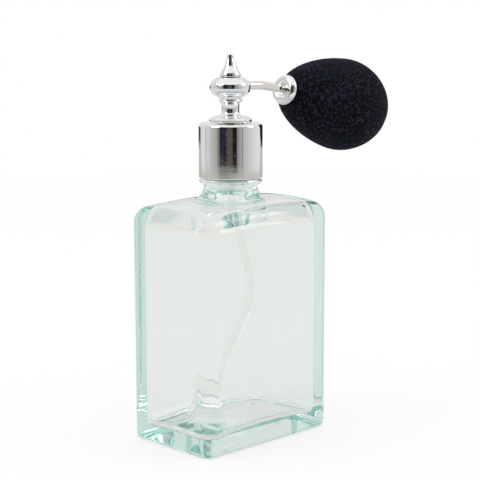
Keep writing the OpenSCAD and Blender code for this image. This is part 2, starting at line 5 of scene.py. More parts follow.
import bmesh
import bpy
from mathutils import Matrix, Vector


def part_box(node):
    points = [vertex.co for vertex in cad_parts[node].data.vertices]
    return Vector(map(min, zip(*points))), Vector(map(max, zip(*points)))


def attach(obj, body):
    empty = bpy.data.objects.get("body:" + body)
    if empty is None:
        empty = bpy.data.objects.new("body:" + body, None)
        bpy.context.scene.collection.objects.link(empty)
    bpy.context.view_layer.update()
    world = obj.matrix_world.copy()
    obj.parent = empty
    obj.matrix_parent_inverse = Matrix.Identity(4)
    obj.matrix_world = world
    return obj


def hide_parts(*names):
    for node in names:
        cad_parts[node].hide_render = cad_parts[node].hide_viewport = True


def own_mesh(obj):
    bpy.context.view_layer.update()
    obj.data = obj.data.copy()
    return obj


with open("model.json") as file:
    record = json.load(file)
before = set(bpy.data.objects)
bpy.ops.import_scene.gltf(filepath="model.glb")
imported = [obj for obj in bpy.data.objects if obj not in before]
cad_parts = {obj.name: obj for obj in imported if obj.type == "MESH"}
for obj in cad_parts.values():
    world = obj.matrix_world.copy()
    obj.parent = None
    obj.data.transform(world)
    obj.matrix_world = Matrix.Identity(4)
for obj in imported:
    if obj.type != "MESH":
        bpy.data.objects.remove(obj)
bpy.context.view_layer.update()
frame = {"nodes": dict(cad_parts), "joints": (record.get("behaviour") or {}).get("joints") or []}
nodes = frame["nodes"]
MM = 0.001


# ---------------------------------------------------------------- camera
# A long lens a little under half a metre away, level with the head and looking slightly down
# on the flask's near corner, so that a broad face and a narrow side both show.

camera_at = Vector((-332.67, -341.58, 143.59)) * MM
yaw, pitch, roll = math.radians(44.62), math.radians(8.92), math.radians(-0.13)
ahead = Vector((math.sin(yaw) * math.cos(pitch), math.cos(yaw) * math.cos(pitch),
                -math.sin(pitch)))
level = Vector((math.cos(yaw), -math.sin(yaw), 0))
right = Matrix.Rotation(roll, 3, -ahead) @ level
camera_turn = Matrix((right, -ahead.cross(right), -ahead)).transposed()

lens = bpy.data.cameras.new("camera")
lens.sensor_width = 36
lens.lens = 104.16
lens.clip_start, lens.clip_end = 0.01, 20
camera = bpy.data.objects.new("camera", lens)
camera.matrix_world = Matrix.Translation(camera_at) @ camera_turn.to_4x4()
bpy.context.scene.collection.objects.link(camera)
bpy.context.scene.camera = camera


# ---------------------------------------------------------------- studio
# A white sheet under the flask, which mostly shines with a painted glow of its own, and a white
# tent round it.
# The tent is open towards the viewer and behind the object, which is what draws the dark bands
# down the chrome.

class Wire:
    """An output in a tree of nodes. Arithmetic on it adds Math nodes."""

    def __init__(self, tree, socket):
        self.tree, self.socket = tree, socket

    def maths(self, operation, *values):
        """A Math node on the values, or on this output when none are given."""
        return self.tree.node("ShaderNodeMath", {"operation": operation},
                              dict(enumerate(values or (self,))))

    def __add__(self, other):
        return self.maths("ADD", self, other)

    def __sub__(self, other):
        return self.maths("SUBTRACT", self, other)

    def __rsub__(self, other):
        return self.maths("SUBTRACT", other, self)

    def __mul__(self, other):
        return self.maths("MULTIPLY", self, other)

    def __truediv__(self, other):
        return self.maths("DIVIDE", self, other)

    __radd__ = __add__
    __rmul__ = __mul__


class Tree:
    """The nodes of one finish, or of the world."""

    def __init__(self, owner):
        owner.use_nodes = True
        self.owner, self.nodes, self.links = owner, owner.node_tree.nodes, owner.node_tree.links
        self.nodes.clear()

    def node(self, kind, settings=None, inputs=None, output=0):
        """Adds a node and gives one of its outputs."""
        made = self.nodes.new(kind)
        for name, value in (settings or {}).items():
            if name == "stops":
                self.stops(made.color_ramp, value)
            else:
                setattr(made, name, value)
        for name, value in (inputs or {}).items():
            if isinstance(value, Wire):
                self.links.new(value.socket, made.inputs[name])
            else:
                made.inputs[name].default_value = value
        return Wire(self, made.outputs[output]) if made.outputs else None

    def outputs(self, kind, inputs=None):
        """Adds a node and gives all its outputs, by name."""
        made = self.node(kind, None, inputs).socket.node
        return {socket.name: Wire(self, socket) for socket in made.outputs}

    def stops(self, ramp, stops):
        """Sets the stops of a colour ramp. A single number is a grey."""
        while len(ramp.elements) < len(stops):
            ramp.elements.new(1)
        for element, (place, shade) in zip(ramp.elements, stops):
            element.position = place
            element.color = (shade, shade, shade, 1) if isinstance(shade, float) else (*shade, 1)

    def mix(self, share, a, b):
        """Colour a where share is 0, and colour b where it is 1."""
        return self.node("ShaderNodeMix", {"data_type": "RGBA"}, {0: share, 6: a, 7: b}, output=2)

    def band(self, value, low, high):
        """0 under low, 1 over high, and smooth between them."""
        return self.node("ShaderNodeMapRange", {"interpolation_type": "SMOOTHSTEP"},
                         {"Value": value, "From Min": low, "From Max": high})


WHITE = (1, 1, 1, 1)
bpy.context.scene.view_settings.view_transform = "Standard"
# Thick glass passes light on many times before it leaves at an edge
bounces = bpy.context.scene.cycles
bounces.glossy_bounces = bounces.transmission_bounces = 32
bounces.max_bounces = 48

tent = Tree(bpy.data.worlds.new("white_tent"))
bpy.context.scene.world = tent.owner
turned_to_view = tent.node("ShaderNodeMapping", {"vector_type": "POINT"}, {
    "Vector": tent.outputs("ShaderNodeTexCoord")["Generated"], "Rotation": (0, 0, yaw)})
towards = tent.outputs("ShaderNodeSeparateXYZ", {0: turned_to_view})
bearing = towards["X"].maths("ARCTAN2", towards["X"], towards["Y"] * -1) / math.pi
elevation = towards["Z"].maths("ARCSINE")

# Dark opening on the viewer's side, with a paler figure in it, and a dark gap behind the object
opening = tent.node("ShaderNodeValToRGB", {"stops": [
    (0.0, 0.05), (0.105, 0.05), (0.13, 0.74), (0.205, 0.76), (0.215, 0.55), (0.25, 0.68),
    (0.30, 0.52), (0.361, 0.38), (0.368, (0.29, 0.23, 0.19)), (0.386, (0.20, 0.16, 0.14)),
    (0.393, (0.012, 0.012, 0.030)), (0.455, (0.010, 0.010, 0.026)),
    (0.465, (0.080, 0.062, 0.052)), (0.515, (0.090, 0.070, 0.060)), (0.525, 0.006),
    (0.560, 0.006), (0.568, 0.24), (0.615, 0.42), (0.622, 0.16), (0.63, 0.50), (0.70, 0.63),
    (0.80, 0.77), (0.875, 0.80), (0.885, 0.05), (1.0, 0.05),
]}, {0: bearing * 0.5 + 0.5})
# The opening reaches from the table's edge to the roof. The gap is only a low strip over the table
gap_side = 0.70, 0.76
table_edge = math.radians(-6.4), math.radians(-5.9)
opening_top = math.radians(38), math.radians(43)
gap_raised, gap_lowered = math.radians(1.2), math.radians(41)
in_gap = tent.band(bearing.maths("ABSOLUTE"), *gap_side)
over_table = tent.band(elevation - in_gap * gap_raised, *table_edge)
under_roof = 1 - tent.band(elevation + in_gap * gap_lowered, *opening_top)
table = tent.node("ShaderNodeValToRGB", {"stops": [
    (0.0, (0.42, 0.45, 0.49)), (0.35, (0.48, 0.51, 0.55)), (0.72, 0.80), (0.86, 0.80),
    (0.922, (0.50, 0.49, 0.45)), (0.95, (0.58, 0.57, 0.53)), (1.0, 0.80),
]}, {0: elevation / (math.pi / 2) + 1})
tent_walls = tent.mix(over_table * under_roof, table, opening)
roof = tent.band(elevation, math.radians(38), math.radians(52))
reflected = tent.mix(roof, tent_walls, (0.92, 0.93, 0.95, 1))
dim_roof = tent.band(elevation, math.radians(22), math.radians(38))
through_glass = tent.mix(dim_roof, (0.860, 0.825, 0.800, 1), (0.66, 0.70, 0.69, 1))
lighting = (1.08, 1.08, 1.08, 1)
ray = tent.outputs("ShaderNodeLightPath")
plain = tent.mix(ray["Is Diffuse Ray"], WHITE, lighting)
seen = tent.mix(ray["Is Glossy Ray"], plain, reflected)
seen = tent.mix(ray["Is Transmission Ray"], seen, through_glass)
tent.node("ShaderNodeOutputWorld", None, {
    "Surface": tent.node("ShaderNodeBackground", None, {"Color": seen})})

sheet_r, sheet_gap, sheet_lit = 0.85, 0.0003, 0.2
sheet_mesh = bmesh.new()
bmesh.ops.create_circle(sheet_mesh, cap_ends=True, segments=96, radius=sheet_r)
floor = bpy.data.objects.new("floor_sheet", bpy.data.meshes.new("floor_sheet"))
bmesh.ops.translate(sheet_mesh, vec=(0, 0, -sheet_gap), verts=sheet_mesh.verts)
sheet_mesh.to_mesh(floor.data)
sheet_mesh.free()
bpy.context.scene.collection.objects.link(floor)
paper = Tree(bpy.data.materials.new("white_paper_painted_light"))
# Painted shade: seen through the glass, the sheet is a darker grey than it is elsewhere
past_glass = paper.outputs("ShaderNodeLightPath")["Is Transmission Ray"]
pale_with_painted_shade_through_glass = paper.mix(past_glass, (0.925, 0.925, 0.925, 1), (0.78, 0.78, 0.76, 1))
# Painted light: most of the sheet's brightness is its own glow, which washes out the shadows cast
# on it
glow = paper.node("ShaderNodeEmission", None, {"Color": pale_with_painted_shade_through_glass, "Strength": 1.05})
lit = paper.node("ShaderNodeBsdfDiffuse", None, {"Color": pale_with_painted_shade_through_glass})
paper.node("ShaderNodeOutputMaterial", None, {
    "Surface": paper.node("ShaderNodeMixShader", None, {0: sheet_lit, 1: glow, 2: lit})})
floor.data.materials.append(paper.owner)
floor.visible_glossy = False

lights_aim = Vector((0, 0, 0.06))
for light_name, place, size, power in (
        ("left_softbox", (-0.9, 0.35, 0.9), 0.7, 3.0),
        ("right_softbox", (0.75, -0.8, 0.8), 0.6, 2.0)):
    softbox = bpy.data.lights.new(light_name, "AREA")
    softbox.shape, softbox.size, softbox.energy = "DISK", size, power
    lamp = bpy.data.objects.new(light_name, softbox)
    lamp.location = place
    lamp.rotation_euler = (lights_aim - lamp.location).to_track_quat("-Z", "Y").to_euler()
    bpy.context.scene.collection.objects.link(lamp)


# ---------------------------------------------------------------- glass flask
# Thick clear soda glass, pressed in a mould: flat sides, rounded edges, a crowned shoulder and a
# heavy floor. The neck, its bead and the screw finish are one piece with the body.

class Finish(Tree):
    """A material with one Principled shader. Plain values go on the shader's own sockets."""

    def __init__(self, name, **values):
        super().__init__(bpy.data.materials.new(name))
        surface = self.node("ShaderNodeBsdfPrincipled")
        self.shader = surface.socket.node
        for key, value in values.items():
            self.shader_socket(key).default_value = value
        self.out = self.nodes.new("ShaderNodeOutputMaterial")
        self.links.new(surface.socket, self.out.inputs["Surface"])

    def shader_socket(self, key):
        return self.shader.inputs[key.replace("_", " ").title().replace("Ior", "IOR")]

    def feed(self, **wires):
        """Links what changes over the surface to the shader."""
        for key, wire in wires.items():
            self.links.new(wire.socket, self.shader_socket(key))

    def grain(self, scale, detail, stretch=None):
        """Soft noise, in features per metre."""
        where = self.outputs("ShaderNodeTexCoord")["Object"]
        if stretch:
            where = self.node("ShaderNodeMapping", None, {"Vector": where, "Scale": stretch})
        return self.node("ShaderNodeTexNoise", None, {
            "Vector": where, "Scale": scale, "Detail": detail})

    def relief(self, height, depth, strength):
        """Fine unevenness, shown by the light alone."""
        self.feed(normal=self.node("ShaderNodeBump", None, {
            "Height": height, "Distance": depth, "Strength": strength}))


def piece(name, form, finish, body, slot, *stands_for, sharp=35):
    """Makes the finished mesh a piece of the object that moves with a body."""
    made = bpy.data.objects.new(name, bpy.data.meshes.new(name))
    bmesh.ops.recalc_face_normals(form, faces=form.faces)
    form.to_mesh(made.data)
    form.free()
    made.data.shade_smooth()
    made.data.set_sharp_from_angle(angle=math.radians(sharp))
    made.data.materials.append(finish.owner)
    bpy.context.scene.collection.objects.link(made)
    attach(made, body)
    if stands_for:
        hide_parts(*stands_for)
    return made


glass_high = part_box("glass_bottle")[1]
collar_low, collar_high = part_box("collar_shell")
half_w, half_d, lip = glass_high.x / MM, glass_high.y / MM, glass_high.z / MM
collar_gap, bead_in, bead_t, neck_l = 0.1, 0.15, 2.2, 6.9
bead_top = collar_low.z / MM - collar_gap
bead_r = collar_high.x / MM - bead_in
shoulder_top = bead_top - neck_l
crown_x, crown_y = 262, 113
wall, floor_rim, floor_dome, ceiling = 4.4, 5.0, 7.2, 4.0
neck_r, flare_r, finish_r, bore_r, thread_r = 9.15, 5.2, 7.8, 5.5, 8.9
thread_pitch, thread_turns, thread_from_lip = 3.175, 1.5, 2
CORNER_STEPS, SIDE_STEPS = 8, 10
AROUND = 4 * (CORNER_STEPS + SIDE_STEPS)


def crown(x, y, top, drawn_in=0):
    """Height of the domed shoulder, or of the ceiling that lies drawn in under it."""
    across = crown_x - drawn_in
    along = crown_y - drawn_in
    return top - across + math.sqrt(across ** 2 - x * x) - along + math.sqrt(along ** 2 - y * y)


def rounded(width, depth, corner):
    """The corners and sides, in order, of a rounded rectangle with these half sizes."""
    points = []
    for quarter in range(4):
        turn = math.radians(90 * quarter)
        sx, sy = ((1, 1), (-1, 1), (-1, -1), (1, -1))[quarter]
        nx, ny = ((-1, 1), (-1, -1), (1, -1), (1, 1))[quarter]
        centre = Vector((sx * (width - corner), sy * (depth - corner)))
        following = Vector((nx * (width - corner), ny * (depth - corner)))
        for k in range(CORNER_STEPS + 1):
            a = turn + math.radians(90 * k / CORNER_STEPS)
            points.append(centre + corner * Vector((math.cos(a), math.sin(a))))
        outward = corner * Vector((math.cos(turn + math.pi / 2), math.sin(turn + math.pi / 2)))
        for k in range(1, SIDE_STEPS):
            share = (1 - math.cos(math.pi * k / SIDE_STEPS)) / 2
            points.append(centre.lerp(following, share) + outward)
    return points


def circle(radius):
    """Points of a circle, turned to lie abreast of a rounded rectangle's."""
    start = math.radians(45) - math.pi * CORNER_STEPS / AROUND
    return [radius * Vector((math.cos(start + 2 * math.pi * k / AROUND),
                             math.sin(start + 2 * math.pi * k / AROUND))) for k in range(AROUND)]


def section(form, points, height):
    """A closed ring through the points, at a height that may depend on the place."""
    ring = bmesh.ops.create_circle(form, segments=len(points), radius=1)["verts"]
    for vertex, p in zip(ring, points):
        vertex.co = Vector((p.x, p.y, height(p) if callable(height) else height)) * MM
    return list({e for v in ring for e in v.link_edges})


def loft(form, rings):
    """Joins each ring of edges to the next with a band of faces."""
    for lower, upper in zip(rings, rings[1:]):
        bmesh.ops.bridge_loops(form, edges=lower + upper)


def thread_height(p, z):
    """How far the glass stands out at this place for the screw thread."""
    angle = math.atan2(p.y, p.x) % (2 * math.pi)
    start = lip - thread_from_lip - thread_turns * thread_pitch
    half_wide, slope, run_out = 0.8, 0.35, 1 / 9
    most = 0
    for turn in range(2):
        along = angle / (2 * math.pi) + turn
        if along <= thread_turns:
            off = abs(z - start - thread_pitch * along)
            fade = min(1, along / run_out, (thread_turns - along) / run_out)
            most = max(most, fade * min(1, max(0, (half_wide - off) / slope)))
    return (thread_r - finish_r) * most


flask = bmesh.new()
rings = []


def ring_on(points, height):
    """Adds the flask's next ring: up the outside, over the lip and down the inside."""
    rings.append(section(flask, points, height))


# Base and heel
heel, edge, shoulder, least_corner = 2.0, 5.0, 4.5, 0.9
for inset in (9, 5, 2.6):
    ring_on(rounded(half_w - inset, half_d - inset, max(edge - inset, least_corner)), 0)
for k in range(6):
    a = math.radians(18 * k)
    inset = heel * (1 - math.sin(a))
    ring_on(rounded(half_w - inset, half_d - inset, edge - inset), heel * (1 - math.cos(a)))
# Walls, up to a shoulder that follows the crown
wall_steps, crowding = 9, 0.8
for k in range(1, wall_steps + 1):
    share = (k / (wall_steps + 1)) ** crowding
    ring_on(rounded(half_w, half_d, edge),
            lambda p, s=share: heel + (crown(p.x, p.y, shoulder_top) - shoulder - heel) * s)
for k in range(9):
    a = math.radians(90 * k / 8)
    inset = shoulder * (1 - math.cos(a))
    drop = shoulder * (1 - math.sin(a))
    ring_on(rounded(half_w - inset, half_d - inset, edge - inset),
            lambda p, d=drop: crown(p.x, p.y, shoulder_top) - d)
# Crown, turning from the rounded rectangle to the foot of the flare, and the flare itself
flare_sunk = 0.85
flare_z = shoulder_top - flare_sunk + flare_r
outer = rounded(half_w - shoulder, half_d - shoulder, edge - shoulder)
inner = circle(neck_r + flare_r)
for share in (0.12, 0.3, 0.5, 0.68, 0.82, 0.92):
    ring_on([a.lerp(b, share) for a, b in zip(outer, inner)],
            lambda p: crown(p.x, p.y, shoulder_top))
for k in range(8):
    a = math.radians(90 * k / 7)
    free = min(1, k / 4)
    freed = free * (flare_z - flare_r * math.cos(a))
    ring_on(circle(neck_r + flare_r * (1 - math.sin(a))),
            lambda p, h=freed, f=free: (1 - f) * crown(p.x, p.y, shoulder_top) + h)
# Bead and screw finish
bead_round = bead_t / 2
bead_foot, bead_z = bead_top - bead_t, bead_top - bead_round
above_bead, below_lip = 0.5, 0.8
bead_side = [(neck_r, bead_foot - 0.25), (neck_r, bead_foot - 0.08), (neck_r + 0.12, bead_foot)]
bead_side += [(bead_r - bead_round + bead_round * math.sin(a), bead_z - bead_round * math.cos(a))
              for a in (math.radians(180 * k / 10) for k in range(11))]
bead_side += [(finish_r + 0.3, bead_top), (finish_r, bead_top + 0.15),
              (finish_r, bead_top + above_bead)]
for r, z in bead_side:
    ring_on(circle(r), z)
finish_steps, finish_l = 42, lip - below_lip - bead_top - above_bead
for k in range(1, finish_steps):
    z = bead_top + above_bead + finish_l * k / finish_steps
    ring_on([p * (1 + thread_height(p, z) / finish_r) for p in circle(finish_r)], z)
lip_round, bore_round = 0.6, 0.35
for k in range(5):
    a = math.radians(22.5 * k)
    ring_on(circle(finish_r - lip_round * (1 - math.cos(a))), lip - lip_round * (1 - math.sin(a)))
for k in range(4):
    a = math.radians(30 * k)
    ring_on(circle(bore_r + bore_round * (1 - math.sin(a))), lip - bore_round * (1 - math.cos(a)))
# Bore, throat and the inside of the shoulder
inner_top, bore_from = shoulder_top - ceiling, lip - 0.5
throat, throat_sunk = 2.5, 0.1
for share in (0.03, 0.3, 0.6, 0.9):
    ring_on(circle(bore_r), bore_from + (inner_top + throat - bore_from) * share)
for k in range(7):
    a = math.radians(15 * k)
    ring_on(circle(bore_r + throat * (1 - math.cos(a))),
            inner_top + throat * (1 - math.sin(a)) - throat_sunk * k / 6)
in_w, in_d, in_edge, in_shoulder, in_foot = half_w - wall, half_d - wall, 4.2, 4.0, 3.5
eased = 0.2
ceiling_outer = rounded(in_w - in_shoulder, in_d - in_shoulder, in_edge - in_shoulder + eased)
ceiling_inner = circle(bore_r + throat)
for share in (0.1, 0.25, 0.42, 0.6, 0.78, 0.9):
    ring_on([a.lerp(b, share) for a, b in zip(ceiling_inner, ceiling_outer)],
            lambda p: crown(p.x, p.y, inner_top, ceiling))
for k in range(8):
    a = math.radians(90 * k / 7)
    inset = in_shoulder * (1 - math.sin(a))
    drop = in_shoulder * (1 - math.cos(a))
    ring_on(rounded(in_w - inset, in_d - inset, in_edge - inset + eased * (1 - k / 7)),
            lambda p, d=drop: crown(p.x, p.y, inner_top, ceiling) - d)
# Inner walls down to the rounded foot and the domed floor
foot_z = floor_rim + in_foot
for k in range(1, wall_steps + 1):
    share = (1 - k / (wall_steps + 1)) ** crowding
    ring_on(rounded(in_w, in_d, in_edge), lambda p, s=share: foot_z + s * (
        crown(p.x, p.y, inner_top, ceiling) - in_shoulder - foot_z))


def floor_height(p):
    """The floor is highest in the middle."""
    return floor_dome - (floor_dome - floor_rim) * min(1, (p.x / in_w) ** 2 + (p.y / in_w) ** 2)


for k in range(8):
    a = math.radians(90 * k / 7)
    inset = in_foot * (1 - math.cos(a))
    rise = in_foot * (1 - math.sin(a))
    ring_on(rounded(in_w - inset, in_d - inset, in_edge - inset),
            lambda p, u=rise: floor_height(p) + u)
floor_edge = rounded(in_w - in_foot, in_d - in_foot, in_edge - in_foot)
floor_middle = circle(2.0)
for share in (0.12, 0.3, 0.5, 0.7, 0.85, 1):
    ring_on([a.lerp(b, share) for a, b in zip(floor_edge, floor_middle)], floor_height)
loft(flask, rings)
bmesh.ops.holes_fill(flask, edges=rings[0] + rings[-1], sides=0)

clear_glass = Finish("clear_glass", base_color=WHITE, roughness=0.0, ior=1.5,
                     transmission_weight=1.0)
clear_glass.relief(clear_glass.grain(55, 2) + 0.3 * clear_glass.grain(160, 2), 0.00006, 0.35)
tint = clear_glass.node("ShaderNodeVolumeAbsorption", None, {
    "Color": (0.25, 0.72, 0.66, 1), "Density": 7.5})
clear_glass.links.new(tint.socket, clear_glass.out.inputs["Volume"])
flask_piece = piece("glass_flask", flask, clear_glass, "bottle", "clear_glass", "glass_bottle",
                    sharp=180)
smoother = flask_piece.modifiers.new("smooth", "SUBSURF")
smoother.levels = smoother.render_levels = 1


# ---------------------------------------------------------------- dip tube
# A clear polyethylene tube pushed up into the stem. It was wound on a coil, so it bows towards
# the bulb and back again, and it is cut square just over the floor.

dip_low, dip_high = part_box("dip_tube")
dip_r, dip_bore = 1.5, 1.0
bow_upper, bow_lower, bow_a, lean = 76.0, 18.5, math.radians(23), math.radians(34)


def tube_mouth(form, outer, bore, place, sides=40):
    """The cut end of a tube, as a flat ring of faces."""
    edges = []
    for r in (outer, bore):
        mouth = bmesh.ops.create_circle(form, segments=sides, radius=r * MM, matrix=place)["verts"]
        edges += list({e for v in mouth for e in v.link_edges})
    return bmesh.ops.bridge_loops(form, edges=edges)["faces"]


def clear_inside(form, cut_face):
    """Takes away a cut that the tube now runs past. The tube's own first end stays."""
    if any(len(edge.link_faces) > 2 for edge in cut_face[0].edges):
        bmesh.ops.delete(form, geom=cut_face, context="FACES")


def run_on(form, end, move):
    """Draws the tube's end straight on."""
    grown = bmesh.ops.extrude_face_region(form, geom=end)["geom"]
    bmesh.ops.translate(form, vec=Vector(move) * MM,
                        verts=[g for g in grown if isinstance(g, bmesh.types.BMVert)])
    clear_inside(form, end)
    return [g for g in grown if isinstance(g, bmesh.types.BMFace)]


def bend_on(form, end, centre, angle, steps):
    """Draws the tube's end round a bend in the plane of the neck and the bulb."""
    turned_on = bmesh.ops.spin(form, geom=end, cent=Vector(centre) * MM, axis=(0, 1, 0),
                               angle=angle, steps=steps)["geom_last"]
    clear_inside(form, end)
    return [g for g in turned_on if isinstance(g, bmesh.types.BMFace)]


dip = bmesh.new()
dip_top = dip_high.z / MM
dip_end_x = dip_low.x / MM + dip_r * math.cos(lean)
dip_end_z = dip_low.z / MM + dip_r * math.sin(lean)
bow_reach = bow_upper * (1 - math.cos(bow_a)) + bow_lower * (math.cos(lean) - math.cos(bow_a))
bows_drop = bow_upper * math.sin(bow_a) + bow_lower * (math.sin(bow_a) + math.sin(lean))
tail_l = (bow_reach - dip_end_x) / math.sin(lean)
lead_z = dip_end_z + bows_drop + tail_l * math.cos(lean)
turn_at = Vector((bow_upper * (1 - math.cos(bow_a)), 0, lead_z - bow_upper * math.sin(bow_a)))
back_centre = turn_at - bow_lower * Vector((math.cos(bow_a), 0, math.sin(bow_a)))
cut = tube_mouth(dip, dip_r, dip_bore, Matrix.Translation((0, 0, dip_high.z)))
cut = run_on(dip, cut, (0, 0, lead_z - dip_top))
cut = bend_on(dip, cut, (bow_upper, 0, lead_z), -bow_a, 12)
cut = bend_on(dip, cut, back_centre, bow_a + lean, 24)
run_on(dip, cut, tail_l * Vector((-math.sin(lean), 0, -math.cos(lean))))

tube_plastic = Finish("clear_polyethylene", base_color=(0.97, 0.98, 0.97, 1), roughness=0.1,
                      ior=1.2, transmission_weight=1.0)
drawing_lines = tube_plastic.grain(420, 2, stretch=(1, 1, 0.1))
tube_plastic.feed(roughness=0.06 + 0.1 * drawing_lines)
tube_plastic.relief(drawing_lines, 0.00004, 0.4)
piece("dip_tube_clear", dip, tube_plastic, "stem", "clear_plastic", "dip_tube")


# ---------------------------------------------------------------- collar
# A sleeve pressed from thin brass, its top edge rolled over, polished and chromed. A threaded
# white plastic liner is pushed into it, and a plastic washer lies under the head.

def through(points, steps):
    """A smooth line through the points of an outline."""
    line = []
    ends = [points[0], *points, points[-1]]
    for a, b, c, d in zip(ends, ends[1:], ends[2:], ends[3:]):
        for k in range(steps):
            t = k / steps
            line.append(tuple(0.5 * (2 * q + (r - p) * t + (2 * p - 5 * q + 4 * r - s) * t ** 2
                                     + (3 * q - p - 3 * r + s) * t ** 3)
                              for p, q, r, s in zip(a, b, c, d)))
    return line + [points[-1]]


def arc(centre, radius, start, stop, steps=5):
    """Points of a round edge, from one angle to another, in degrees."""
    angles = [math.radians(start + (stop - start) * k / steps) for k in range(steps + 1)]
    return [(centre[0] + radius * math.cos(a), centre[1] + radius * math.sin(a)) for a in angles]


def turned(outline, sides=128, place=None):
    """A solid of revolution round Z, from a closed outline of (radius, height)."""
    form = bmesh.new()
    on_axis, same_place = 1e-9, 1e-7
    line = [form.verts.new((r * MM, 0, z * MM)) for r, z in outline]
    edges = [form.edges.new(pair) for pair in zip(line, line[1:] + line[:1])
             if max(pair[0].co.x, pair[1].co.x) > on_axis]
    bmesh.ops.spin(form, geom=line + edges, cent=(0, 0, 0), axis=(0, 0, 1),
                   angle=2 * math.pi, steps=sides, use_merge=True)
    bmesh.ops.remove_doubles(form, verts=form.verts, dist=same_place)
    if place:
        bmesh.ops.transform(form, matrix=place, verts=form.verts)
    return form


shell_t, shell_top, roll, foot_round, hole_round = 0.9, 0.6, 1.3, 0.25, 0.15
collar_r, collar_foot, collar_top = collar_high.x / MM, collar_low.z / MM, collar_high.z / MM
hub_hole = 4.7
sleeve = [(collar_r - shell_t, collar_foot + 0.1), (collar_r - shell_t + 0.1, collar_foot)]
sleeve += arc((collar_r - foot_round, collar_foot + foot_round), foot_round, -90, 0)
# Close rings at both ends of the long straight side keep its reflections straight
sleeve += [(collar_r, collar_foot + 0.4), (collar_r, collar_foot + 1),
           (collar_r, collar_top - roll - 1), (collar_r, collar_top - roll - 0.2)]
sleeve += arc((collar_r - roll, collar_top - roll), roll, 0, 90, 12)
sleeve += arc((hub_hole + hole_round, collar_top - hole_round), hole_round, 90, 180)
sleeve += [(hub_hole, collar_top - shell_top), (collar_r - shell_t, collar_top - shell_top)]


def dimmed(tone, share):
    return tuple(share * c for c in tone[:3]) + (1,)


def plated(name, tone, lathe=True):
    """Bright plate on polished metal: faint polishing lines, a film of handling and fine pits."""
    finish = Finish(name, base_color=tone, metallic=1.0, roughness=0.05)
    film = finish.band(finish.grain(90, 3), 0.42, 0.68)
    lines = finish.grain(700, 2, stretch=(0.06, 0.06, 1) if lathe else (1, 1, 1))
    pits = finish.band(finish.grain(2600, 0), 0.76, 0.82)
    finish.feed(roughness=0.025 + 0.04 * film + 0.03 * lines + 0.05 * pits,
                base_color=finish.mix(film * 0.4, tone, dimmed(tone, 0.92)))
    finish.relief(lines * 0.4 + finish.grain(120, 1) - 0.5 * pits, 0.00002, 0.2)
    return finish


chrome = plated("chrome_plate", (0.90, 0.905, 0.91, 1))
piece("collar_sleeve", turned(sleeve, 192), chrome, "collar", "chrome_plate", "collar_shell",
      sharp=30)


def give(finish, *names):
    """Puts a finish on pieces that keep the shape they were worked to."""
    for name in names:
        nodes[name].data.materials.clear()
        nodes[name].data.materials.append(finish.owner)


def moulded(name, tone, shine):
    """Moulded plastic with a faint orange-peel skin and slight changes of tone."""
    finish = Finish(name, base_color=tone, roughness=shine)
    cloud = finish.grain(140, 4)
    finish.feed(base_color=finish.mix(cloud, dimmed(tone, 0.88), tone),
                roughness=shine - 0.08 + 0.16 * cloud)
    finish.relief(finish.grain(1500, 2), 0.00003, 0.3)
    return finish


give(moulded("white_polypropylene", (0.86, 0.86, 0.83, 1), 0.42), "collar_liner")
give(moulded("white_acetal", (0.90, 0.89, 0.84, 1), 0.3), "thrust_washer")


# ---------------------------------------------------------------- stem and small parts
# The plug, flange, hub and hollow post are one brass turning, like the valve bodies. Cages, clip
# and riser are drawn stainless steel, the seals are nitrile, and the gasket is cut from foam.

def machined(name, tone, shine, stretch):
    """Bare metal with the fine lines of a turning tool or a die."""
    finish = Finish(name, base_color=tone, metallic=1.0, roughness=shine)
    lines = finish.grain(1900, 2, stretch=stretch)
    stain = finish.band(finish.grain(180, 4), 0.45, 0.75)
    finish.feed(base_color=finish.mix(stain * 0.5, tone, dimmed(tone, 0.7)),
                roughness=shine - 0.06 + 0.12 * lines + 0.1 * stain)
    finish.relief(lines, 0.00003, 0.4)
    return finish


def rubbery(name, tone, grit):
    """Matt rubber or foam with a fine bloom."""
    finish = Finish(name, base_color=tone, roughness=0.62, sheen_weight=0.15)
    bloom = finish.grain(240, 5)
    bloomed = tuple(min(1, 1.4 * c + 0.015) for c in tone[:3]) + (1,)
    finish.feed(base_color=finish.mix(bloom * 0.6, tone, bloomed), roughness=0.5 + 0.25 * bloom)
    finish.relief(finish.grain(grit, 3), 0.00005, 0.5)
    return finish


give(machined("turned_brass", (0.80, 0.62, 0.30, 1), 0.24, (0.05, 0.05, 1)),
     "stem_body", "spray_core", "outlet_body", "outlet_seat", "intake_body", "intake_seat")
give(machined("drawn_steel", (0.62, 0.63, 0.65, 1), 0.28, (1, 1, 0.05)),
     "riser_tube", "swivel_clip", "outlet_cage", "outlet_ball", "intake_cage", "intake_ball")
give(rubbery("nitrile", (0.025, 0.025, 0.027, 1), 1600), "swivel_seal", "finial_seal")
give(rubbery("foamed_gasket", (0.80, 0.80, 0.78, 1), 900), "neck_gasket")


# ---------------------------------------------------------------- spray head
# Turned from brass bar and chromed: a flange, a waisted stem with a bead, and a ball with a narrow
# belt. The nozzle is pushed into the ball's front, and the finial screws into its top.

